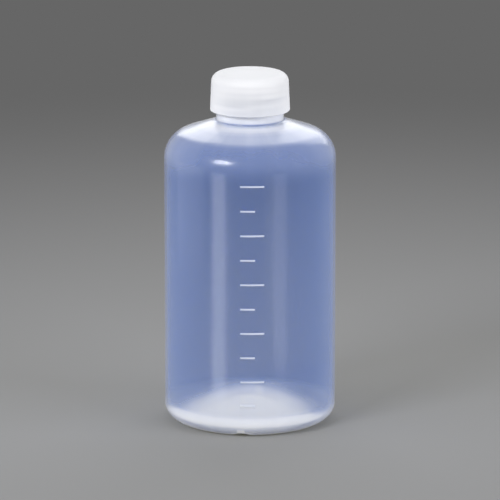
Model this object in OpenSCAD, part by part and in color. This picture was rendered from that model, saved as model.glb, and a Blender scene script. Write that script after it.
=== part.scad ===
// Narrow-mouth reagent bottle with a screw cap and an inner stopper, in millimetres.
// The origin is the middle of the foot and +Z is up. The mould parts in the plane X = 0, and the
// graduation marks start at the parting line on the -Y side.

/* [Body] */
// Outside diameter of the body
body_d = 77.7; // [72:0.1:90]
// Height of the straight side above the table
side_h = 121.5; // [105:0.5:140]
// Thickness of the side, the shoulder and the heel
wall_t = 1.2; // [0.8:0.1:1.8]
// Radius of the heel, where the side turns under
heel_r = 7.4; // [5:0.1:10]
// Radius of the bend from the side into the shoulder
shoulder_r = 12.9; // [9:0.1:18]
// Slope of the shoulder between that bend and the neck, in degrees
shoulder_slope = 18.5; // [12:0.5:26]

/* [Base] */
// Thickness of the base
base_t = 2.4; // [2.2:0.1:3.2]
// Width of the flat ring that the bottle stands on
foot_w = 3; // [2:0.5:6]
// Height of the pushed-up middle of the base
push_up_h = 7; // [3:0.5:9]
// Width of the pinch-off notch across the foot
notch_w = 9; // [6:0.5:12]
// Depth of the pinch-off notch
notch_depth = 1.8; // [0.6:0.1:2]
// Width of the weld scar under the base
scar_w = 1.4; // [0.8:0.1:2.4]
// Length of the weld scar
scar_l = 36; // [20:1:48]
// How far the weld scar stands out of the base
scar_h = 0.7; // [0.3:0.1:1.2]

/* [Graduations] */
// Volume from one mark to the next, in millilitres
mark_ml = 50; // [40:5:60]
// Number of marks
mark_count = 10; // [4:1:12]
// Length of every second mark, round the side
long_mark = 10.7; // [8:0.1:16]
// Length of the marks between those
short_mark = 6.6; // [4:0.2:8]
// Height of a mark on the side
mark_h = 0.8; // [0.5:0.1:1.2]
// How far a mark stands out of the side
mark_relief = 0.2; // [0.1:0.05:0.3]

/* [Neck] */
// Diameter of the mouth
mouth_d = 25; // [20:0.5:28]
// Thickness of the neck below its rim
neck_wall = 2.8; // [2.6:0.1:4]
// Thickness of the rim
rim_wall = 1.8; // [1.2:0.1:2.2]
// Height of the rim above the step in the neck
rim_h = 2.4; // [2:0.1:3.2]
// Height of the neck from the shoulder to the top of the rim
neck_h = 18; // [17:0.2:24]
// Radius of the fillet between the shoulder and the neck
neck_fillet_r = 0.8; // [0.5:0.1:2.4]
// Radius of the rounded edge where the mouth opens into the shoulder
mouth_edge_r = 3; // [1:0.2:5]

/* [Thread] */
// Rise of the thread in one turn
thread_pitch = 4; // [3.6:0.1:4.8]
// How far a ridge stands out
thread_depth = 1; // [0.8:0.1:1.3]
// Width of a ridge at its foot
thread_foot_w = 2; // [1.6:0.1:2.2]
// Width of a ridge at its crest
thread_crest_w = 0.9; // [0.6:0.1:1.2]
// Gap between a crest and the wall it faces
thread_clearance = 0.3; // [0.2:0.05:0.5]
// Gap between the flanks that hold the cap down
flank_gap = 0.3; // [0.2:0.05:0.5]

/* [Cap] */
// Thickness of the cap's wall at its lower edge
cap_wall = 1.4; // [1.2:0.1:2.4]
// Thickness of the cap's roof
roof_t = 2; // [1.4:0.1:3]
// Radius of the rounded top edge
cap_edge_r = 4.2; // [3:0.2:5.6]
// Lean of the cap's side, in degrees
cap_draft = 2.4; // [0:0.2:3]
// Length of bare neck that shows below the cap
neck_show = 4.5; // [2:0.1:5]
// Height of the inside lip that carries the stopper
lip_h = 0.8; // [0.5:0.1:1.2]
// Chamfer that leads the neck into the cap
lead_in = 0.5; // [0.2:0.1:0.8]

/* [Stopper] */
// Thickness of the flange that lies on the rim
flange_t = 1.6; // [1.2:0.1:2.4]
// How far the flange reaches past the rim
flange_overhang = 0.9; // [0.7:0.1:1.2]
// How far the plug reaches into the mouth
plug_depth = 9; // [6:0.5:11]
// Thickness of the plug's side
plug_wall = 1.2; // [0.8:0.1:2]
// Thickness of the plug's floor
plug_floor = 1.4; // [1:0.1:2.4]
// Chamfer round the plug's lower edge
plug_chamfer = 0.8; // [0.3:0.1:1]
// Radial clearance between the plug and the mouth
plug_clearance = 0.05; // [0.02:0.01:0.1]

/* [Hidden] */
$fn = 96;

// Colours of the milky body and of the whiter closure
body_colour = [0.62, 0.69, 0.86, 0.6];
cap_colour = [0.96, 0.97, 0.99, 0.9];
stopper_colour = [0.93, 0.94, 0.95];

// Segments in an arc of an outline, in the pushed-up base and in one turn of a thread
arc_steps = 12;
dome_steps = 20;
turn_steps = 36;
// Clearances between the flange, the rim and the inside of the cap
flange_clearance = 0.2;
lip_clearance = 0.4;
lip_gap = 0.3;
// How deep a mark, a weld scar or a ridge is rooted in its wall
mark_root = 0.4;
scar_root = 0.6;
thread_root = 0.5;
// Least height of the weld scar above the table
scar_clearance = 0.4;
// Segments over which a thread rises at each of its ends
taper_steps = 3;

// Radii
body_r = body_d / 2;
inner_r = body_r - wall_t;
foot_r = body_r - heel_r;
dome_r = foot_r - foot_w;
mouth_r = mouth_d / 2;
neck_r = mouth_r + neck_wall;
rim_r = mouth_r + rim_wall;
bore_r = neck_r + thread_depth + thread_clearance;
cap_r = bore_r + cap_wall;
plug_r = mouth_r - plug_clearance;
cup_r = plug_r - plug_wall;
flange_r = rim_r + flange_overhang;
chamber_r = flange_r + flange_clearance;
lip_r = rim_r + lip_clearance;

// Centre of the shoulder's bend, and the ends of the bend outside and inside
bend = [body_r - shoulder_r, side_h];
slope_normal = [sin(shoulder_slope), cos(shoulder_slope)];
bend_out = bend + shoulder_r * slope_normal;
bend_in = bend + (shoulder_r - wall_t) * slope_normal;

// Levels, from the shoulder's meeting with the neck up to the top of the cap
root_z = slope_z(bend_out, neck_r);
rim_z = root_z + neck_h;
roof_z = rim_z + flange_t;
cap_z = root_z + neck_show;
top_z = roof_z + roof_t;

// Centres of the fillet outside the neck's root and of the rounded edge inside it
neck_fillet = fillet_centre(bend_out, neck_r, neck_fillet_r);
mouth_edge = fillet_centre(bend_in, mouth_r, mouth_edge_r);

// Level of a flat floor that would hold as much as the pushed-up base with its round heel does.
// The dome fills a cosine hump, and the heel fills the corner outside a quarter of an ellipse.
heel_in = [heel_r - wall_t, heel_r - base_t];
dome_volume = PI * push_up_h * dome_r * dome_r * (1 / 2 - 2 / (PI * PI));
corner_share = 1 - PI / 4;
corner_centre = (10 - 3 * PI) / (12 - 3 * PI);
corner_area = corner_share * heel_in.x * heel_in.y;
corner_volume = 2 * PI * (inner_r - corner_centre * heel_in.x) * corner_area;
inner_area = PI * inner_r * inner_r;
floor_z = base_t + (dome_volume + corner_volume) / inner_area;
mm3_per_ml = 1000;
mark_step = mark_ml * mm3_per_ml / inner_area;

// Radius of the round cutter that leaves a notch of this width and depth
notch_r = (notch_w * notch_w / 4 + notch_depth * notch_depth) / (2 * notch_depth);

// The step below the rim, and the lip inside the cap, slope at 45 degrees
step_z = rim_z - rim_h - (neck_r - rim_r);
lip_top = rim_z - lip_gap - (chamber_r - lip_r);
lip_cone_z = lip_top - lip_h - (bore_r - lip_r);

// The neck's thread lies between the bare neck and the step, and the cap's thread between the cap's
// lead-in and its lip. The cap's ridge hangs just below the neck's, flank to flank.
flank_width = thread_foot_w - (thread_depth + thread_clearance)
    * (thread_foot_w - thread_crest_w) / (2 * thread_depth);
ridge_drop = flank_width + flank_gap;
neck_ridge_z = cap_z + thread_foot_w + lead_in;
neck_ridge_top = step_z - thread_foot_w / 2;
cap_ridge_z = cap_z + lead_in + thread_foot_w / 2;
cap_ridge_top = lip_cone_z - thread_foot_w / 2;
cap_ridge_angle = 360 * (cap_ridge_z - neck_ridge_z + ridge_drop) / thread_pitch;

// Height at radius r of the sloped line that leaves the shoulder's bend at a point
function slope_z(from, r) = from.y + (from.x - r) * tan(shoulder_slope);

// Centre of a fillet between that line and an upright wall at radius r
function fillet_centre(from, r, fillet) =
    [r + fillet, slope_z(from, r + fillet) + fillet / cos(shoulder_slope)];

// Points of an arc with radii x and y, from one angle to another
function arc(centre, radii, from, to) =
    [for (i = [0 : arc_steps])
        let (a = from + (to - from) * i / arc_steps)
        centre + [radii.x * cos(a), radii.y * sin(a)]];

// Points of the pushed-up base, from the axis to the foot ring, lifted by a height
function dome(lift) =
    [for (i = [0 : dome_steps])
        let (share = i / dome_steps)
        [dome_r * share, lift + push_up_h * (1 + cos(180 * share)) / 2]];

function reversed(points) = [for (i = [len(points) - 1 : -1 : 0]) points[i]];

// Cross-section of the bottle: up the outside to the rim and down the inside to the axis
function bottle_outline() = concat(
    dome(0),
    arc([foot_r, heel_r], [heel_r, heel_r], -90, 0),
    arc(bend, [shoulder_r, shoulder_r], 0, 90 - shoulder_slope),
    arc(neck_fillet, [neck_fillet_r, neck_fillet_r], 270 - shoulder_slope, 180),
    [[neck_r, step_z], [rim_r, rim_z - rim_h], [rim_r, rim_z], [mouth_r, rim_z]],
    arc(mouth_edge, [mouth_edge_r, mouth_edge_r], 180, 270 - shoulder_slope),
    arc(bend, [shoulder_r - wall_t, shoulder_r - wall_t], 90 - shoulder_slope, 0),
    arc([foot_r, heel_r], heel_in, 0, -90),
    reversed(dome(base_t)));

// A helical ridge that starts at height z and angle a. Its flanks run on into the wall as far as
// thread_root, outward is 1 for a ridge on the outside of a wall and -1 for one on the inside, and
// its crest sinks into the wall at both ends.
module ridge(wall_r, outward, z, a, rise)
{
    steps = ceil(rise / thread_pitch * turn_steps);
    root_r = wall_r - outward * thread_root;
    sunk_r = wall_r - outward * thread_root / 2;
    crest_r = wall_r + outward * thread_depth;
    widening = (thread_foot_w - thread_crest_w) * thread_root / thread_depth;
    root_half = (thread_foot_w + widening) / 2;
    crest_half = thread_crest_w / 2;
    points = [for (i = [0 : steps])
        let (
            turn = a + i * 360 / turn_steps,
            middle = z + i * thread_pitch / turn_steps,
            full = min(1, i / taper_steps, (steps - i) / taper_steps),
            tip_r = sunk_r + (crest_r - sunk_r) * full,
            section = [[root_r, -root_half], [tip_r, -crest_half], [tip_r, crest_half], [root_r, root_half]]
        )
        for (p = outward > 0 ? section : reversed(section))
            [p.x * cos(turn), p.x * sin(turn), middle + p.y]];
    sides = [for (i = [0 : steps - 1], k = [0 : 3])
        let (
            near = 4 * i + k,
            beside = 4 * i + (k + 1) % 4
        )
        each [[near, beside + 4, near + 4], [near, beside, beside + 4]]];
    ends = [[3, 2, 1, 0], [for (k = [0 : 3]) 4 * steps + k]];
    polyhedron(points, concat(sides, ends), convexity = 6);
}

// One raised line on the side, from the parting line round to the right
module mark(z, length)
{
    translate([0, 0, z - mark_h / 2])
        rotate_extrude(angle = length / body_r * 180 / PI, start = 270)
            translate([body_r - mark_root, 0])
                square([mark_root + mark_relief, mark_h]);
}

// All the marks that lie on the straight side. The lowest is short and every second one is long.
module marks()
{
    for (i = [1 : mark_count])
    {
        z = floor_z + i * mark_step;
        if (z + mark_h < side_h)
            mark(z, i % 2 == 0 ? long_mark : short_mark);
    }
}

// The raised line under the base where the two halves of the mould pinched the parison shut
module weld_scar()
{
    intersection()
    {
        rotate_extrude()
            polygon(concat(dome(-scar_h), reversed(dome(scar_root))));
        translate([-scar_w / 2, -scar_l / 2, scar_clearance])
            cube([scar_w, scar_l, push_up_h + scar_root]);
    }
}

// A round-bottomed notch across the foot, along the parting plane
module pinch_notch()
{
    translate([0, 0, notch_depth - notch_r])
        rotate([90, 0, 0])
            cylinder(r = notch_r, h = body_d, center = true);
}

module bottle_body()
{
    color(body_colour)
    {
        difference()
        {
            union()
            {
                rotate_extrude()
                    polygon(bottle_outline());
                weld_scar();
            }
            pinch_notch();
        }
        marks();
        ridge(neck_r, 1, neck_ridge_z, 0, neck_ridge_top - neck_ridge_z);
    }
}

// Hollow plug with a flange that lies on the rim
module inner_stopper()
{
    plug_z = rim_z - plug_depth;
    floor_top = plug_z + plug_floor;
    color(stopper_colour)
        rotate_extrude()
            polygon([
                [0, plug_z],
                [plug_r - plug_chamfer, plug_z],
                [plug_r, plug_z + plug_chamfer],
                [plug_r, rim_z],
                [flange_r, rim_z],
                [flange_r, roof_z],
                [cup_r, roof_z],
                [cup_r, floor_top],
                [0, floor_top]]);
}

// Cup with a rounded top edge, an inside lip that carries the stopper's flange, and a thread
module screw_cap()
{
    edge_z = top_z - cap_edge_r;
    edge_x = cap_r - (edge_z - cap_z) * tan(cap_draft) - cap_edge_r / cos(cap_draft);
    color(cap_colour)
    {
        rotate_extrude()
            polygon(concat(
                [[bore_r + lead_in, cap_z], [cap_r, cap_z]],
                arc([edge_x, edge_z], [cap_edge_r, cap_edge_r], cap_draft, 90),
                [[0, top_z],
                [0, roof_z],
                [chamber_r, roof_z],
                [chamber_r, rim_z - lip_gap],
                [lip_r, lip_top],
                [lip_r, lip_top - lip_h],
                [bore_r, lip_cone_z],
                [bore_r, cap_z + lead_in]]));
        ridge(bore_r, -1, cap_ridge_z, cap_ridge_angle, cap_ridge_top - cap_ridge_z);
    }
}

bottle_body();
inner_stopper();
screw_cap();
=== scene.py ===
"""Looks of the reagent bottle: milky blue body with raised marks, white screw cap and inner stopper."""
import math

import bpy
import numpy as np
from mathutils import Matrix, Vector


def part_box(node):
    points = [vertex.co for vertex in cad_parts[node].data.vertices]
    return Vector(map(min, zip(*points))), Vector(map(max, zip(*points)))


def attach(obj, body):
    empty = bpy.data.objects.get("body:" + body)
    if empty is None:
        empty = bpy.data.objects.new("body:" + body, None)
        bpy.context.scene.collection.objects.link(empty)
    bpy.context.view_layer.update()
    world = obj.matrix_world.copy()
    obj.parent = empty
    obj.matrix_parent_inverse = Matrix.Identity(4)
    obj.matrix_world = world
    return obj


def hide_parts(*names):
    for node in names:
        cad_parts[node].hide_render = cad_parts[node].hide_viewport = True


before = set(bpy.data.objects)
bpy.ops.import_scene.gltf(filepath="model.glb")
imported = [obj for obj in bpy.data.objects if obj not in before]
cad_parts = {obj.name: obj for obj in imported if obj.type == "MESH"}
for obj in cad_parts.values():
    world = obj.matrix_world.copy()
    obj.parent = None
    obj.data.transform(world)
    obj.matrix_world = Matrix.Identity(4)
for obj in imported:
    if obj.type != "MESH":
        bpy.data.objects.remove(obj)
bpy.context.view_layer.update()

# Lengths below are in millimetres, and meshes are scaled to metres when they are made. A pair of numbers
# gives the two ends of a smooth change, from none of something to all of it.
MM = 0.001

# Sizes that the frame gives
BOTTLE_HIGH = Vector(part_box("bottle_body")[1]) / MM
CAP_LOW, CAP_HIGH = (Vector(corner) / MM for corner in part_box("screw_cap"))
PLUG_LOW, PLUG_HIGH = (Vector(corner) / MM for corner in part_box("inner_stopper"))
BODY_R = BOTTLE_HIGH.x
RIM_Z = BOTTLE_HIGH.z
CAP_R = CAP_HIGH.x
CAP_Z = CAP_LOW.z
TOP_Z = CAP_HIGH.z
FLANGE_R = PLUG_HIGH.x
PLUG_Z = PLUG_LOW.z
ROOF_Z = PLUG_HIGH.z

# Body
WALL = 1.2
HEEL_R = 7.4
HEEL_WALL = 1.8
SIDE_H = 121.5
SHOULDER_R = 12.9
SLOPE = math.tan(math.radians(18.5))
BASE_WALL = 2.4
FOOT_W = 3
PUSH_UP = 7
UNDER_TOP = PUSH_UP + 1
NOTCH_DEPTH = 1.8
NOTCH_R = 6.53
SCAR_W = 1.4
SCAR_L = 36
SCAR_H = 0.7
SCAR_END = 3
INNER_R = BODY_R - WALL
FOOT_R = BODY_R - HEEL_R
DOME_R = FOOT_R - FOOT_W
DOME_TOP = PUSH_UP + BASE_WALL

# Marks: one every 50 ml above the level floor that holds as much as the pushed-up base
FLOOR_Z = 3.93
STEP_VOLUME = 50000
MARK_STEP = STEP_VOLUME / (math.pi * INNER_R ** 2)
MARK_COUNT = 10
LONG_MARK = 10.7
SHORT_MARK = 6.6
MARK_HALF = 0.4
MARK_RELIEF = 0.2
MARK_ROUND = 0.16

# Neck and mouth
MOUTH_R = 12.5
NECK_R = 15.3
RIM_R = 14.3
RIM_H = 2.4
NECK_H = 18
ROOT_Z = RIM_Z - NECK_H
STEP_Z = RIM_Z - RIM_H - (NECK_R - RIM_R)
MOUTH_BEND = 3

# Thread
PITCH = 4
RIDGE_H = 1.0
RIDGE_FOOT = 1.0
RIDGE_CREST = 0.45
NECK_RIDGE_Z = CAP_Z + 2.5
NECK_TURNS = 1.65
CAP_RIDGE_Z = CAP_Z + 1.5
CAP_RIDGE_ANGLE = 52.7
CAP_TURNS = 1.83
RIDGE_RISE = 40
RIDGE_LOW_Z = CAP_Z - 1

# Cap
CAP_WALL = 1.4
BORE_R = CAP_R - CAP_WALL
CAP_EDGE_R = 4.2
CAP_LEAN = math.tan(math.radians(2.4))
CHAMBER_R = FLANGE_R + 0.2
CHAMBER_Z = RIM_Z - 0.3
LIP_R = RIM_R + 0.4
LIP_H = 0.8
LIP_TOP = CHAMBER_Z - (CHAMBER_R - LIP_R)
LIP_CONE_Z = LIP_TOP - LIP_H - (BORE_R - LIP_R)
LEAD_IN = 0.5
DIMPLE_DEPTH = 0.08
DIMPLE_EDGE = (2.2, 1.2)

# Stopper
PLUG_GAP = 0.05
PLUG_WALL = 1.2
PLUG_FLOOR = 1.4
PLUG_CHAMFER = 0.8
PLUG_R = MOUTH_R - PLUG_GAP
CUP_R = PLUG_R - PLUG_WALL
CUP_FLOOR = PLUG_Z + PLUG_FLOOR
GATE_H = 0.3
GATE_EDGE = (1.6, 1.1)

# Radii of small rounded edges
HAIR_EDGE = 0.2
FINE_EDGE = 0.3
EDGE = 0.4
SOFT_EDGE = 0.5
CUP_EDGE = 0.6
ROOT_EDGE = 0.8

# The parting plane of the mould is X = 0, and the marks start at its -Y side.
FRONT = 270
BACK = 90
SEAM_H = 0.02
SEAM_HALF = 0.25
SEAM_LOW_Z = 1

# Slight waviness of the side, which fades at both ends. Each wave has a count round the bottle, a share
# of the height, a phase and a twist per millimetre upwards.
WAVE_H = 0.03
WAVES = ((3, 1, 0.7, 0), (5, 0.7, 0, 0.03), (9, 0.4, 2, 0))
WAVE_START = (HEEL_R, 30)
WAVE_END = (SIDE_H + 8, SIDE_H - 30)

# Fineness of the meshes: degrees between points of an arc and between columns, and gaps between rows
ARC_STEP = 7
INSIDE_ARC_STEP = 6
FINE_ARC_STEP = 4
LEAST_ARC = 3
COLUMN_STEP = 2.0
COLUMN_GAP = 0.04
SEAM_SPAN = 8
SEAM_STEP = 0.5
SEAM_COLUMNS = (-0.3, -0.15, 0.15, 0.3)
MARK_END_COLUMNS = (-1.5, -1, 0, 1, 1.5)
DOME_ROWS = 22
THREAD_ROW = 0.2
LOW_ROW = 0.8
LOW_TOP = 30
SIDE_ROW = 3
INSIDE_ROW = 4
BORE_ROW = 0.25
CAP_INSIDE_ROW = 2
CAP_ROW = 1.5
DIMPLE_ROW = 0.6
DIMPLE_SPAN = 4
PLUG_ROW = 1

# How near to a place a point counts as being there
TINY = 0.01
NEAR_THREAD = 0.1
NEAR_NECK = 0.2
NEAR_BORE = 0.3

# Haze is how milky a wall is, about 1 on the bottle's side. These stretches of the bottle add to it, and
# the clear line, a painted shade line in the crease at the neck's root, takes from it.
SIDE_HAZE = 1.14
SHOULDER_HAZE = 1.2
SHOULDER_ZONE = (SIDE_H - 7, SIDE_H + 5)
UPPER_HAZE = 1.2
UPPER_ZONE = (SIDE_H + 10.5, SIDE_H + 12.5)
COLLAR_HAZE = 2.0
COLLAR_START = (ROOT_Z - 2.6, ROOT_Z - 1.2)
COLLAR_END = (ROOT_Z, ROOT_Z - 0.7)
# Painted shade: a clearer line in the crease at the neck's root, where the dark inside shows through
PAINTED_SHADE_LINE = 1.3
PAINTED_SHADE_LINE_HALF = (0.8, 0.2)
NECK_HAZE = 3.8
NECK_ZONE = (ROOT_Z + 0.2, ROOT_Z + 1.6)
BASE_HAZE = 12
BASE_RADIUS = (37, 13)
BASE_TOP = (DOME_TOP + 2, DOME_TOP + 1)
WELD_HAZE = 8
WELD_HALF = (2, 1)
WELD_TOP = (4, 3)
MARK_HAZE = 4.5
# Painted highlight: the marks grow milkier towards their far ends, where the raised mark catches light
MARK_END_PAINTED_HIGHLIGHT = 1.5
INSIDE_SHINE = 0.3

# Heel, milkier on the marked side: painted light on its downward-facing strip there
HEEL_ANGLE = FRONT - 3
HEEL_HAZE = 1.8
HEEL_PAINTED_LIGHT_HAZE = 1.4
HEEL_TOP = HEEL_R + 1
HEEL_FAR_RISE = 2
HEEL_LOW = HEEL_R - 2.5

# Painted light low on the marked side: a white hill with a soft upper edge for the lit base seen through
# the wall, a painted bright patch at its top and a painted highlight ring at its foot, where the heel
# bends
HILL_ANGLE = FRONT + 6.5
HILL_H = 19
HILL_POWER = 2.5
HILL_EDGE = 3.4
HILL_EDGE_ASIDE = 4
VEIL_FOOT = (HEEL_R - 3, HEEL_R - 1)
VEIL_FAR = 0.15
VEIL_TURN = (0.1, 0.95)
PAINTED_VEIL_HAZE = 1.4
PAINTED_VEIL_WHITE = 0.95
VEIL_HIDES = 0.85
PAINTED_CREST_HAZE = 1.2
CREST_LOW = 7
CREST_HIGH = 2
CREST_POWER = 4
PAINTED_RING_HAZE = 5.0
RING_ZONE = (12.5, HEEL_R + 0.3)
RING_TURN = (0.3, 0.85)

# Looks of the cap, at heights above its lower edge: a thin skirt, a thick top and clearer bands between
CAP_HAZE = 1.05
CAP_RIDGE_HAZE = 0.4
CAP_TOP_ZONE = (6, 12)
CAP_WHITE = 0.25
CAP_SHINE = 0.22
BAND_HAZE = 0.4
BAND_Z = 12.8
BAND_STEP = 2.65
BAND_EDGE = (0.5, 0.9)
BAND_START = (3, 7)
BAND_END = (15, 13.5)

# Plastic: what streaks and clouds change, what a slanting view adds, shares of light, and textures
UNEVEN = 0.2
ASLANT = 1.25
ASLANT_BEND = 0.4
PASSED_ON = 0.5
THICK_STOPS = 0.3
CLOUD_ROUGHNESS = 0.08
MIRROR = 0.04
MIRROR_POWER = 5.0
INSIDE_LOSS = 0.9
STREAK_SCALE = 4.0
CLOUD_SCALE = 35.0
GRAIN_SCALE = 420.0
GRAIN_H = 0.015 * MM
GRAIN_STRENGTH = 0.12
BOTTLE_LOOKS = {
    "clear": (0.85, 0.84, 0.785),
    "thin": (0.03, 0.19, 0.60),
    "thick": (0.98, 0.982, 0.99),
    "roughness": 0.17,
    "thick_from": 1.05,
    "thick_to": 5.5,
}
WHITE_LOOKS = {
    "thin": (0.92, 0.94, 0.99),
    "thick": (0.94, 0.943, 0.968),
    "roughness": 0.3,
    "thick_from": 0.5,
    "thick_to": 2,
}
CAP_CLEAR = (0.20, 0.21, 0.22)
STOPPER_CLEAR = (0.35, 0.36, 0.37)

# Camera at the photograph's angle, with its places in metres
CAMERA_TURN = math.radians(6.45)
CAMERA_DISTANCE = 2.0
CAMERA_HEIGHT = 0.568
AIM_HEIGHT = 0.078
LENS = 326.7
SENSOR_WIDTH = 36

# Stage: the floor in metres, its greys near and far, and the even light from all round
FAR_GREY = (0.133, 0.133, 0.133, 1)
NEAR_GREY = (0.302, 0.302, 0.302, 1)
FLOOR_R = 6.0
FLOOR_SIDES = 96
FLOOR_FADE = 0.76
SKY_COLOUR = (0.95, 0.97, 1.0, 1)
SKY_STRENGTH = 0.34


def smoothstep(low, high, value):
    """0 at low, 1 at high, with a smooth rise between them."""
    share = np.clip((value - low) / (high - low), 0, 1)
    return share * share * (3 - 2 * share)


def rounded(corners, step=ARC_STEP):
    """Points of an outline through (r, z, fillet) corners, with an arc of that radius at each corner."""
    points = []
    for k, (r, z, fillet) in enumerate(corners):
        here = np.array((r, z), float)
        if fillet == 0:
            points.append(here)
            continue
        before = np.array(corners[k - 1][:2]) - here
        after = np.array(corners[k + 1][:2]) - here
        before /= np.linalg.norm(before)
        after /= np.linalg.norm(after)
        half = math.acos(before @ after) / 2
        middle = (before + after) / np.linalg.norm(before + after)
        centre = here + middle * fillet / math.sin(half)
        start = here + before * fillet / math.tan(half) - centre
        end = here + after * fillet / math.tan(half) - centre
        sweep = math.pi - 2 * half
        count = max(LEAST_ARC, round(math.degrees(sweep) / step))
        for i in range(count + 1):
            a = sweep * i / count
            points.append(centre + (start * math.sin(sweep - a) + end * math.sin(a)) / math.sin(sweep))
    return points


def spaced(points, gap):
    """The same outline with more points, no further apart than gap(r, z)."""
    result = [points[0]]
    for start, end in zip(points, points[1:]):
        middle = (start + end) / 2
        count = max(1, math.ceil(np.linalg.norm(end - start) / gap(*middle)))
        result += [start + (end - start) * i / count for i in range(1, count + 1)]
    return result


def with_levels(points, levels):
    """The same rising outline with a point at each of these heights."""
    result = [points[0]]
    for start, end in zip(points, points[1:]):
        for z in sorted(levels):
            if start[1] + TINY < z < end[1] - TINY:
                result.append(start + (end - start) * (z - start[1]) / (end[1] - start[1]))
        result.append(end)
    return result


def dome(lift):
    """Points of the pushed-up base from the axis to the foot ring."""
    share = np.linspace(0, 1, DOME_ROWS)
    return list(np.stack([DOME_R * share, lift + PUSH_UP * (1 + np.cos(math.pi * share)) / 2], axis=1))


def turn_angles(extra=()):
    """Angles of the columns of a lathed mesh, in degrees, with these added where a detail needs them."""
    angles = np.concatenate([np.arange(0, 360, COLUMN_STEP), np.asarray(extra, float) % 360])
    angles = np.unique(np.round(angles, 3))
    return angles[np.diff(angles, prepend=angles[-1] - 360) > COLUMN_GAP]


def lathe(name, outline, angles, shape, looks):
    """A closed mesh turned about the Z axis. The outline starts and ends on the axis, shape(grid) moves
    the points of the grid, and looks(grid) gives the values there that the material reads: haze is how
    milky the wall is, white whitens it and shine is its share of full gloss."""
    outline = np.array(outline)
    slope = np.gradient(outline, axis=0)
    slope /= np.linalg.norm(slope, axis=1)[:, None]
    cos, sin = np.cos(np.radians(angles)), np.sin(np.radians(angles))
    r, z = (np.repeat(column[:, None], len(angles), axis=1) for column in outline.T)
    outward = slope[:, 1:]
    upward = np.repeat(-slope[:, :1], len(angles), axis=1)
    grid = {
        "row": np.arange(len(outline))[:, None],
        "angle": np.repeat(np.asarray(angles)[None, :], len(outline), axis=0),
        "r": r,
        "x": r * cos,
        "y": r * sin,
        "z": z,
        "normal": np.stack([outward * cos, outward * sin, upward]),
    }
    values = looks(grid)
    shape(grid)
    points = np.stack([grid["x"], grid["y"], grid["z"]], axis=-1)

    rows, columns = r.shape
    inner = points[1:-1].reshape(-1, 3)
    vertices = np.concatenate([points[0, :1], inner, points[-1, :1]]) * MM
    index = 1 + np.arange((rows - 2) * columns).reshape(rows - 2, columns)
    ahead = np.roll(index, -1, axis=1)
    quads = np.stack([index[:-1], ahead[:-1], ahead[1:], index[1:]], axis=-1).reshape(-1, 4)
    first = [(0, b, a) for a, b in zip(index[0], ahead[0])]
    last = [(a, b, len(vertices) - 1) for a, b in zip(index[-1], ahead[-1])]

    mesh = bpy.data.meshes.new(name)
    mesh.from_pydata(vertices.tolist(), [], first + quads.tolist() + last)
    mesh.polygons.foreach_set("use_smooth", [True] * len(mesh.polygons))
    for key, value in values.items():
        value = np.broadcast_to(value, r.shape).astype(np.float32)
        value = np.concatenate([value[0, :1], value[1:-1].ravel(), value[-1, :1]])
        mesh.attributes.new(key, "FLOAT", "POINT").data.foreach_set("value", value)
    mesh.validate()
    piece = bpy.data.objects.new(name, mesh)
    bpy.context.scene.collection.objects.link(piece)
    return piece


def push(grid, height):
    """Moves the grid's points along their normals."""
    for axis, direction in zip("xyz", grid["normal"]):
        grid[axis] = grid[axis] + direction * height


def ridge(grid, start_z, start_angle, turns):
    """Height of a helical ridge of the thread over a wall, tapered at both ends."""
    height = np.zeros_like(grid["z"])
    for lap in range(math.ceil(turns) + 1):
        turn = (grid["angle"] - start_angle) % 360 / 360 + lap
        across = np.abs(grid["z"] - start_z - PITCH * turn)
        ends = np.minimum(turn, turns - turn) * 360
        lap_height = smoothstep(RIDGE_FOOT, RIDGE_CREST, across) * smoothstep(0, RIDGE_RISE, ends)
        height = np.maximum(height, lap_height)
    return RIDGE_H * height


def arc_degrees(length):
    """Angle at the axis of a length round the bottle's side."""
    return math.degrees(length / BODY_R)


def marks():
    """Height on the side and length of every mark. The lowest is short, and every second one long."""
    for i in range(1, MARK_COUNT + 1):
        yield FLOOR_Z + i * MARK_STEP, LONG_MARK if i % 2 == 0 else SHORT_MARK


def mark_cover(grid):
    """1 on the marks and 0 beside them, with rounded edges, and how far along a long mark a point is."""
    along = np.radians((grid["angle"] - FRONT + 180) % 360 - 180) * BODY_R
    cover = np.zeros_like(grid["z"])
    for z, length in marks():
        beside = np.maximum(np.abs(grid["z"] - z) - MARK_HALF, np.maximum(-along, along - length))
        cover = np.maximum(cover, smoothstep(MARK_ROUND, -MARK_ROUND, beside))
    return cover, np.clip(along / LONG_MARK, 0, 1)


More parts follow.
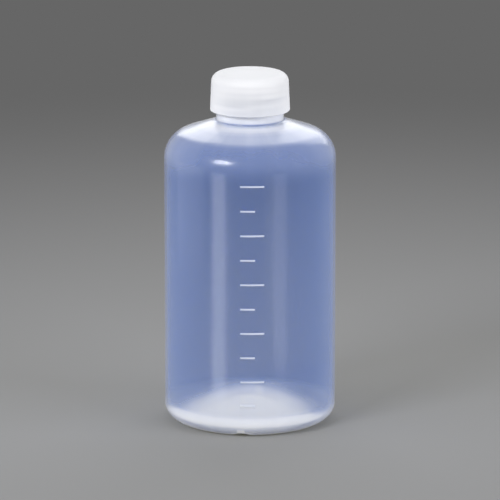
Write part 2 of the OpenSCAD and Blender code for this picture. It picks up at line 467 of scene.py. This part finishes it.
def bottle_outline():
    """Outline of the bottle up its outside and down its inside, and the number of points outside."""
    bend_r = BODY_R - SHOULDER_R
    slope_length = math.hypot(1, SLOPE)

    def slope_z(offset, r):
        """Height of the shoulder's slope at radius r, on a wall that is offset inwards."""
        return SIDE_H + (SHOULDER_R - offset) * slope_length + (bend_r - r) * SLOPE

    def outside_gap(r, z):
        """Rows lie close together where the thread is, and low on the side."""
        if CAP_Z < z < STEP_Z and r > NECK_R - NEAR_THREAD:
            return THREAD_ROW
        return LOW_ROW if z < LOW_TOP else SIDE_ROW

    edges = (-MARK_HALF - MARK_ROUND, -MARK_HALF, -MARK_HALF + MARK_ROUND)
    levels = [z + edge * side for z, _ in marks() for edge in edges for side in (1, -1)]
    outside = rounded([
        (FOOT_R, 0, 0),
        (BODY_R, 0, HEEL_R),
        (BODY_R, slope_z(0, BODY_R), SHOULDER_R),
        (NECK_R, slope_z(0, NECK_R), ROOT_EDGE),
        (NECK_R, STEP_Z, EDGE),
        (RIM_R, RIM_Z - RIM_H, SOFT_EDGE),
        (RIM_R, RIM_Z, SOFT_EDGE),
        (MOUTH_R, RIM_Z, 0)], step=FINE_ARC_STEP)
    outside = dome(0) + spaced(with_levels(outside[1:], levels), outside_gap)
    inside = rounded([
        (MOUTH_R, RIM_Z, 0),
        (MOUTH_R, slope_z(WALL, MOUTH_R), MOUTH_BEND),
        (INNER_R, slope_z(WALL, INNER_R), SHOULDER_R - WALL),
        (INNER_R, BASE_WALL, HEEL_R - HEEL_WALL),
        (DOME_R, BASE_WALL, 0)], step=INSIDE_ARC_STEP)
    inside = spaced(inside, lambda r, z: INSIDE_ROW)[1:] + dome(BASE_WALL)[::-1][1:]
    return outside + inside, len(outside)


def bottle_columns():
    """Columns close together at the parting line, with its notch and scar, and at the marks' ends."""
    near = np.concatenate([np.arange(-SEAM_SPAN, SEAM_SPAN + TINY, SEAM_STEP), np.array(SEAM_COLUMNS)])
    ends = [FRONT + arc_degrees(length) for length in (LONG_MARK, SHORT_MARK)]
    edge = arc_degrees(MARK_ROUND) * np.array(MARK_END_COLUMNS)
    return turn_angles(np.concatenate([FRONT + near, BACK + near] + [end + edge for end in ends]))


def towards(grid, angle):
    """1 on the side at this angle, and 0 a quarter turn from it and beyond."""
    return np.maximum(np.cos(np.radians(grid["angle"] - angle)), 0)


def upper_haze(z):
    """Haze of the shoulder, thicker upwards, and of the neck, with a clear line at the neck's root that
    is painted shade in the crease.
    """
    shoulder = SHOULDER_HAZE * smoothstep(*SHOULDER_ZONE, z) + UPPER_HAZE * smoothstep(*UPPER_ZONE, z)
    collar = COLLAR_HAZE * smoothstep(*COLLAR_START, z) * smoothstep(*COLLAR_END, z)
    neck = NECK_HAZE * smoothstep(*NECK_ZONE, z)
    # Painted shade line in the crease at the neck's root
    line = PAINTED_SHADE_LINE * smoothstep(*PAINTED_SHADE_LINE_HALF, np.abs(z - ROOT_Z))
    return shoulder + collar + neck - line


def lower_haze(grid, outside):
    """Haze of the heel, the pushed-up base and the weld under it. The heel's extra haze on the
    marked side is painted light.
    """
    z = grid["z"]
    near = towards(grid, HEEL_ANGLE)
    heel_top = HEEL_TOP + HEEL_FAR_RISE * (1 - near)
    # Painted light: extra haze on the marked side lightens the heel's downward-facing strip
    heel = (HEEL_HAZE + HEEL_PAINTED_LIGHT_HAZE * near) * smoothstep(heel_top, HEEL_LOW, z)
    base = BASE_HAZE * smoothstep(*BASE_RADIUS, grid["r"]) ** 2 * smoothstep(*BASE_TOP, z)
    weld = WELD_HAZE * smoothstep(*WELD_HALF, np.abs(grid["x"])) * smoothstep(*WELD_TOP, z)
    return heel + base + weld * outside


def painted_light_zone(grid):
    """How much of the painted white zone covers each point, from 0 to 1, and the haze that it adds:
    painted
        light of the lit base, a painted bright patch at the hill's top and a painted highlight ring.
    """
    z = grid["z"]
    facing = np.cos(np.radians(grid["angle"] - HILL_ANGLE))
    front = np.maximum(facing, 0)
    near = towards(grid, HEEL_ANGLE)
    foot = smoothstep(*VEIL_FOOT, z)
    hill = HEEL_R + HILL_H * front ** HILL_POWER
    spread = HILL_EDGE + HILL_EDGE_ASIDE * np.sqrt(1 - facing ** 2)
    painted_veil = smoothstep(hill + spread, hill - spread, z) * foot
    painted_veil = painted_veil * (VEIL_FAR + (1 - VEIL_FAR) * smoothstep(*VEIL_TURN, near))
    painted_crest = smoothstep(hill - CREST_LOW, hill - CREST_HIGH, z) * front ** CREST_POWER
    ring = smoothstep(*RING_ZONE, z) ** 2 * foot * smoothstep(*RING_TURN, near)
    return painted_veil, painted_veil * (PAINTED_VEIL_HAZE + PAINTED_CREST_HAZE * painted_crest) + PAINTED_RING_HAZE * ring


def make_bottle():
    outline, outside_count = bottle_outline()

    def looks(grid):
        """The wall is thicker at the shoulder, in the neck, heel and base and at the marks. Low on the
        marked side its outer face is painted white, painted light standing in for the lit base seen
        through it, with a painted highlight ring and a painted bright patch, and that fades round the
        heel. The marked side's extra heel haze and the marks' brighter ends are painted light too."""
        outside = grid["row"] < outside_count
        painted_veil, painted_light_haze = painted_light_zone(grid)
        cover, along = mark_cover(grid)
        # The marks' haze rises towards their far ends, a painted highlight, and is less on the painted
        # white zone
        raised = cover * outside * (MARK_HAZE + MARK_END_PAINTED_HIGHLIGHT * along) * (1 - VEIL_HIDES * painted_veil)
        haze = SIDE_HAZE + upper_haze(grid["z"]) + lower_haze(grid, outside)
        # The white zone's haze and whiteness on the outer face are painted light.
        haze += raised + painted_light_haze * outside
        shine = INSIDE_SHINE + (1 - INSIDE_SHINE) * outside
        return {"haze": haze, "white": PAINTED_VEIL_WHITE * painted_veil * outside, "shine": shine}

    def shape(grid):
        """The thread, marks, parting line and waves stand out of the wall. The weld scar hangs from the
        base, and the notch is cut across the foot ring."""
        z = grid["z"]
        outside = grid["row"] < outside_count
        on_neck = outside & (grid["r"] > NECK_R - NEAR_NECK) & (z > RIDGE_LOW_Z)
        on_side = outside & (grid["r"] > BODY_R - TINY)
        thread = ridge(grid, NECK_RIDGE_Z, 0, NECK_TURNS) * on_neck
        relief = MARK_RELIEF * mark_cover(grid)[0] * on_side
        from_seam = np.abs((grid["angle"] - FRONT + 90) % 180 - 90) * np.radians(1) * grid["r"]
        seam = SEAM_H * smoothstep(SEAM_HALF, 0, from_seam) * outside * (z > SEAM_LOW_Z) * (z < CAP_Z)
        angle = np.radians(grid["angle"])
        wave = sum(share * np.sin(count * angle + phase + twist * z)
                   for count, share, phase, twist in WAVES)
        wave = WAVE_H * wave * smoothstep(*WAVE_START, z) * smoothstep(*WAVE_END, z)
        push(grid, thread + relief + seam + wave)

        under = (grid["row"] < outside_count // 2) & (grid["z"] < UNDER_TOP)
        scar = smoothstep(SCAR_W / 2, SCAR_W / 4, np.abs(grid["x"]))
        scar *= smoothstep(SCAR_L / 2, SCAR_L / 2 - SCAR_END, np.abs(grid["y"]))
        grid["z"] = grid["z"] - SCAR_H * scar * under * (grid["r"] < DOME_R)
        notch = NOTCH_DEPTH - NOTCH_R + np.sqrt(np.maximum(NOTCH_R ** 2 - grid["x"] ** 2, 0))
        grid["z"] = np.where(under, np.maximum(grid["z"], notch), grid["z"])

    return lathe("bottle_shell", outline, bottle_columns(), shape, looks)


def make_cap():
    edge_z = TOP_Z - CAP_EDGE_R
    inside = rounded([
        (0, ROOF_Z, 0),
        (CHAMBER_R, ROOF_Z, SOFT_EDGE),
        (CHAMBER_R, CHAMBER_Z, HAIR_EDGE),
        (LIP_R, LIP_TOP, HAIR_EDGE),
        (LIP_R, LIP_TOP - LIP_H, FINE_EDGE),
        (BORE_R, LIP_CONE_Z, EDGE),
        (BORE_R, CAP_Z + LEAD_IN, FINE_EDGE),
        (BORE_R + LEAD_IN, CAP_Z, HAIR_EDGE),
        (CAP_R, CAP_Z, EDGE),
        (CAP_R - (edge_z - CAP_Z) * CAP_LEAN, edge_z, 0)])
    wall_top = CAP_R - (TOP_Z - CAP_Z) * CAP_LEAN
    outside = rounded([
        (CAP_R, CAP_Z, 0),
        (wall_top, TOP_Z, CAP_EDGE_R),
        (0, TOP_Z, 0)], step=FINE_ARC_STEP)

    def inside_gap(r, z):
        """Rows lie close together where the thread is."""
        return BORE_ROW if z < LIP_CONE_Z and r > LIP_R else CAP_INSIDE_ROW

    def outside_gap(r, z):
        """Rows lie close together round the dimple in the top."""
        return DIMPLE_ROW if r < DIMPLE_SPAN else CAP_ROW

    inside = spaced(inside[:-1], inside_gap)
    outside = spaced([inside[-1]] + outside[1:], outside_gap)[1:]
    inside_count = len(inside)

    def looks(grid):
        """The skirt is thinner than the top, but for its thread, and clearer bands run round the cap."""
        z = grid["z"] - CAP_Z
        skirt = CAP_HAZE + CAP_RIDGE_HAZE * ridge(grid, CAP_RIDGE_Z, CAP_RIDGE_ANGLE, CAP_TURNS)
        bands = smoothstep(*BAND_EDGE, np.cos((z - BAND_Z) * 2 * np.pi / BAND_STEP))
        bands = bands * smoothstep(*BAND_START, z) * smoothstep(*BAND_END, z)
        top = smoothstep(*CAP_TOP_ZONE, z) - BAND_HAZE * bands
        shine = CAP_SHINE * (grid["row"] >= inside_count)
        return {"haze": skirt + top, "white": CAP_WHITE, "shine": shine}

    def shape(grid):
        """The thread stands out of the bore, and the gate leaves a dimple in the top."""
        on_bore = (grid["row"] < inside_count) & (np.abs(grid["r"] - BORE_R) < NEAR_BORE)
        push(grid, ridge(grid, CAP_RIDGE_Z, CAP_RIDGE_ANGLE, CAP_TURNS) * on_bore)
        on_top = (grid["row"] >= inside_count) & (grid["z"] > TOP_Z - TINY)
        grid["z"] = grid["z"] - DIMPLE_DEPTH * smoothstep(*DIMPLE_EDGE, grid["r"]) * on_top

    return lathe("cap_shell", inside + outside, turn_angles(), shape, looks)


def make_stopper():
    outline = rounded([
        (0, PLUG_Z, 0),
        (PLUG_R - PLUG_CHAMFER, PLUG_Z, FINE_EDGE),
        (PLUG_R, PLUG_Z + PLUG_CHAMFER, EDGE),
        (PLUG_R, RIM_Z, HAIR_EDGE),
        (FLANGE_R, RIM_Z, FINE_EDGE),
        (FLANGE_R, ROOF_Z, EDGE),
        (CUP_R, ROOF_Z, EDGE),
        (CUP_R, CUP_FLOOR, CUP_EDGE),
        (0, CUP_FLOOR, 0)])
    outline = spaced(outline, lambda r, z: PLUG_ROW)

    def looks(grid):
        return {"haze": 1, "white": 0, "shine": 1}

    def shape(grid):
        """The gate leaves a low button on the cup's floor."""
        in_cup = grid["z"] > PLUG_Z + PLUG_FLOOR / 2
        grid["z"] = grid["z"] + GATE_H * smoothstep(*GATE_EDGE, grid["r"]) * in_cup

    return lathe("stopper_plug", outline, turn_angles(), shape, looks)


class Nodes:
    """Adds nodes to a material or a world and links them, in one line each."""

    def __init__(self, owner):
        owner.use_nodes = True
        self.tree = owner.node_tree
        self.tree.nodes.clear()

    def add(self, kind, settings=None, **sockets):
        """A node whose sockets are given by name, or by number as i0, i1 and so on."""
        node = self.tree.nodes.new("ShaderNode" + kind)
        for key, value in (settings or {}).items():
            setattr(node, key, value)
        for key, value in sockets.items():
            numbered = key[0] == "i" and key[1:].isdigit()
            socket = node.inputs[int(key[1:]) if numbered else key]
            if isinstance(value, bpy.types.NodeSocket):
                self.tree.links.new(value, socket)
            else:
                socket.default_value = value
        return node

    def math(self, operation, *values):
        sockets = {f"i{k}": v for k, v in enumerate(values)}
        return self.add("Math", {"operation": operation}, **sockets).outputs[0]

    def vector(self, operation, *values):
        sockets = {f"i{k}": v for k, v in enumerate(values)}
        return self.add("VectorMath", {"operation": operation}, **sockets).outputs[0]

    def value(self, name):
        """A value that looks(grid) gave the mesh."""
        return self.add("Attribute", {"attribute_name": name}).outputs["Fac"]


def milky_plastic(name, clear, thin, thick, roughness, thick_from, thick_to):
    """Milky plastic as two thin films, the outer and the inner face of each wall. clear is the share of
    light that one face lets straight through, per colour. The rest is scattered, in the thin wall's
    colour or, where the wall is thicker or seen aslant, in the thick wall's."""
    material = bpy.data.materials.new(name)
    nodes = Nodes(material)
    place = nodes.add("TexCoord").outputs["Object"]
    facing = nodes.add("LayerWeight", Blend=0.5).outputs["Facing"]

    # Vertical streaks that blowing leaves round the wall, and a slow cloudiness
    flat = nodes.vector("MULTIPLY", place, (1, 1, 0))
    around = nodes.vector("NORMALIZE", flat)
    streaks = nodes.add("TexNoise", Vector=around, Scale=STREAK_SCALE, Detail=3.0).outputs["Fac"]
    cloud = nodes.add("TexNoise", Vector=place, Scale=CLOUD_SCALE, Detail=2.0).outputs["Fac"]
    uneven = nodes.math("MULTIPLY_ADD", cloud, UNEVEN, 1 - UNEVEN)
    uneven = nodes.math("MULTIPLY_ADD", streaks, UNEVEN, uneven)

    # Depth of the wall, and how much of each colour goes straight through it
    bend = nodes.math("MULTIPLY_ADD", facing, -ASLANT_BEND, 1.0)
    aslant = nodes.math("DIVIDE", nodes.math("MULTIPLY", facing, ASLANT), bend)
    depth = nodes.math("MULTIPLY", nodes.math("ADD", nodes.value("haze"), aslant), uneven)
    through = nodes.add("CombineColor", **{
        colour: nodes.math("POWER", share, depth)
        for colour, share in zip(("Red", "Green", "Blue"), clear)}).outputs[0]
    scattered = nodes.vector("SUBTRACT", (1, 1, 1), through)
    thickness = {"Value": depth, "From Min": thick_from, "From Max": thick_to}
    whiter = nodes.add("MapRange", **thickness).outputs[0]
    # On the bottle the white value is painted light low on the marked side; on the cap it is its own
    # whiteness
    whiter = nodes.math("MAXIMUM", whiter, nodes.value("white"))
    colour = nodes.add("Mix", {"data_type": "RGBA"}, i0=whiter, i6=(*thin, 1), i7=(*thick, 1)).outputs[2]
    colour = nodes.vector("MULTIPLY", scattered, colour)

    # Film that scatters light back and onwards, with a fine grain
    grain = nodes.add("TexNoise", Vector=place, Scale=GRAIN_SCALE, Detail=2.0).outputs["Fac"]
    bump = nodes.add("Bump", Height=grain, Strength=GRAIN_STRENGTH, Distance=GRAIN_H).outputs[0]
    front = nodes.add("BsdfDiffuse", Color=colour, Normal=bump).outputs[0]
    back = nodes.add("BsdfTranslucent", Color=colour, Normal=bump).outputs[0]
    passed_on = nodes.math("MULTIPLY_ADD", whiter, -THICK_STOPS, PASSED_ON)
    scatter = nodes.add("MixShader", Fac=passed_on, i1=front, i2=back).outputs[0]
    clear_part = nodes.add("BsdfTransparent", Color=through).outputs[0]
    film = nodes.add("AddShader", i0=clear_part, i1=scatter).outputs[0]

    # Gloss, stronger at a grazing view and weak on a face that is seen from inside the wall
    rough = nodes.math("MULTIPLY_ADD", cloud, CLOUD_ROUGHNESS, roughness)
    gloss = nodes.add("BsdfGlossy", Color=(1, 1, 1, 1), Roughness=rough, Normal=bump).outputs[0]
    grazing = nodes.math("POWER", facing, MIRROR_POWER)
    mirror = nodes.math("MULTIPLY_ADD", grazing, 1 - MIRROR, MIRROR)
    mirror = nodes.math("MULTIPLY", mirror, nodes.value("shine"))
    behind = nodes.add("NewGeometry").outputs["Backfacing"]
    mirror = nodes.math("MULTIPLY", mirror, nodes.math("MULTIPLY_ADD", behind, -INSIDE_LOSS, 1.0))
    surface = nodes.add("MixShader", Fac=mirror, i1=film, i2=gloss).outputs[0]
    nodes.add("OutputMaterial", Surface=surface)
    return material


def add_piece(piece, material, body, node):
    piece.data.materials.append(material)
    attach(piece, body)
    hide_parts(node)


def polar(azimuth, elevation, distance, height):
    """A point that far from the axis at this height, with azimuth 0 on the camera's side."""
    a = math.radians(azimuth) + CAMERA_TURN
    e = math.radians(elevation)
    reach = distance * math.cos(e)
    return Vector((reach * math.sin(a), -reach * math.cos(a), height + distance * math.sin(e)))


def look_at(place, height):
    """Turn of a camera or lamp at this place that faces the axis at this height."""
    return (Vector((0, 0, height)) - place).to_track_quat("-Z", "Y").to_euler()


def add_light(name, place, aim, size, radiance, lights=True, mirrored=True, shape="RECTANGLE"):
    """A flat lamp of this radiance that faces the axis at the height aim, all in metres. One that isn't
    mirrored leaves no reflection, and one that doesn't light is a card that only shows in the gloss."""
    data = bpy.data.lights.new(name, "AREA")
    data.shape = shape
    data.size, data.size_y = size
    area = size[0] * size[1] * (math.pi / 4 if shape == "ELLIPSE" else 1)
    data.energy = radiance * math.pi * area
    lamp = bpy.data.objects.new(name, data)
    lamp.location = place
    lamp.rotation_euler = look_at(place, aim)
    lamp.visible_camera = False
    lamp.visible_diffuse = lights
    lamp.visible_transmission = lights
    lamp.visible_glossy = mirrored
    bpy.context.scene.collection.objects.link(lamp)


def make_camera():
    data = bpy.data.cameras.new("camera")
    data.lens = LENS
    data.sensor_width = SENSOR_WIDTH
    camera = bpy.data.objects.new("camera", data)
    camera.location = polar(azimuth=0, elevation=0, distance=CAMERA_DISTANCE, height=CAMERA_HEIGHT)
    camera.rotation_euler = look_at(camera.location, AIM_HEIGHT)
    bpy.context.scene.collection.objects.link(camera)
    bpy.context.scene.camera = camera


def make_floor():
    """A pale floor that fades into the far grey, so that no horizon shows."""
    bpy.ops.mesh.primitive_circle_add(vertices=FLOOR_SIDES, radius=FLOOR_R, fill_type="NGON")
    floor = bpy.context.object
    floor.name = "floor"
    material = bpy.data.materials.new("floor_grey")
    nodes = Nodes(material)
    place = nodes.add("TexCoord").outputs["Object"]
    distance = nodes.add("VectorMath", {"operation": "LENGTH"}, i0=place).outputs["Value"]
    fade = nodes.add("MapRange", {"interpolation_type": "SMOOTHSTEP"},
                     **{"Value": distance, "From Min": 0.0, "From Max": FLOOR_FADE}).outputs[0]
    near = nodes.add("BsdfDiffuse", Color=NEAR_GREY).outputs[0]
    far = nodes.add("Emission", Color=FAR_GREY, Strength=1.0).outputs[0]
    surface = nodes.add("MixShader", Fac=fade, i1=near, i2=far).outputs[0]
    nodes.add("OutputMaterial", Surface=surface)
    floor.data.materials.append(material)


def make_world():
    """Even light from all round, and the far grey where the surroundings are seen or mirrored."""
    world = bpy.data.worlds.new("studio")
    bpy.context.scene.world = world
    nodes = Nodes(world)
    ray = nodes.add("LightPath").outputs
    seen = nodes.math("MAXIMUM", ray["Is Camera Ray"], ray["Is Glossy Ray"])
    seen = nodes.math("MAXIMUM", seen, ray["Is Transmission Ray"])
    light = nodes.add("Background", Color=SKY_COLOUR, Strength=SKY_STRENGTH).outputs[0]
    view = nodes.add("Background", Color=FAR_GREY, Strength=1.0).outputs[0]
    surface = nodes.add("MixShader", Fac=seen, i1=light, i2=view).outputs[0]
    nodes.add("OutputWorld", Surface=surface)


def make_lights():
    """A lamp behind, a key lamp at the front left, a soft one on each side, and cards in the gloss."""
    add_light(
        "back", polar(azimuth=171, elevation=31, distance=1.2, height=0.13),
        aim=0.13, size=(1.3, 0.82), radiance=2.25)
    add_light(
        "key", polar(azimuth=-40, elevation=31, distance=1.3, height=0.12),
        aim=0.1, size=(0.57, 0.32), radiance=19.3, shape="ELLIPSE")
    add_light(
        "side_left", polar(azimuth=-66, elevation=14, distance=1.5, height=0.1),
        aim=0.1, size=(1.2, 1.0), radiance=2.4, mirrored=False)
    add_light(
        "side_right", polar(azimuth=60, elevation=14, distance=1.5, height=0.1),
        aim=0.1, size=(1.2, 1.0), radiance=4.9, mirrored=False)
    add_light(
        "panel", polar(azimuth=-85, elevation=0, distance=0.35, height=0.07),
        aim=0.07, size=(0.3, 0.14), radiance=0.9, lights=False)
    add_light(
        "card_left", polar(azimuth=-34.4, elevation=0, distance=0.097, height=0.057),
        aim=0.057, size=(0.0256, 0.108), radiance=3.0, lights=False)
    add_light(
        "card_right", polar(azimuth=36, elevation=0, distance=0.15, height=0.049),
        aim=0.049, size=(0.042, 0.1), radiance=1.4, lights=False)


make_camera()
make_floor()
make_world()
make_lights()
bottle_plastic = milky_plastic("bottle_plastic", **BOTTLE_LOOKS)
cap_plastic = milky_plastic("cap_plastic", clear=CAP_CLEAR, **WHITE_LOOKS)
stopper_plastic = milky_plastic("stopper_plastic", clear=STOPPER_CLEAR, **WHITE_LOOKS)
add_piece(make_bottle(), bottle_plastic, "bottle", "bottle_body")
add_piece(make_cap(), cap_plastic, "cap", "screw_cap")
add_piece(make_stopper(), stopper_plastic, "stopper", "inner_stopper")

bpy.context.scene.view_settings.view_transform = "Standard"
# A ray passes through many faces of film before it leaves the bottle.
bpy.context.scene.cycles.transparent_max_bounces = 64
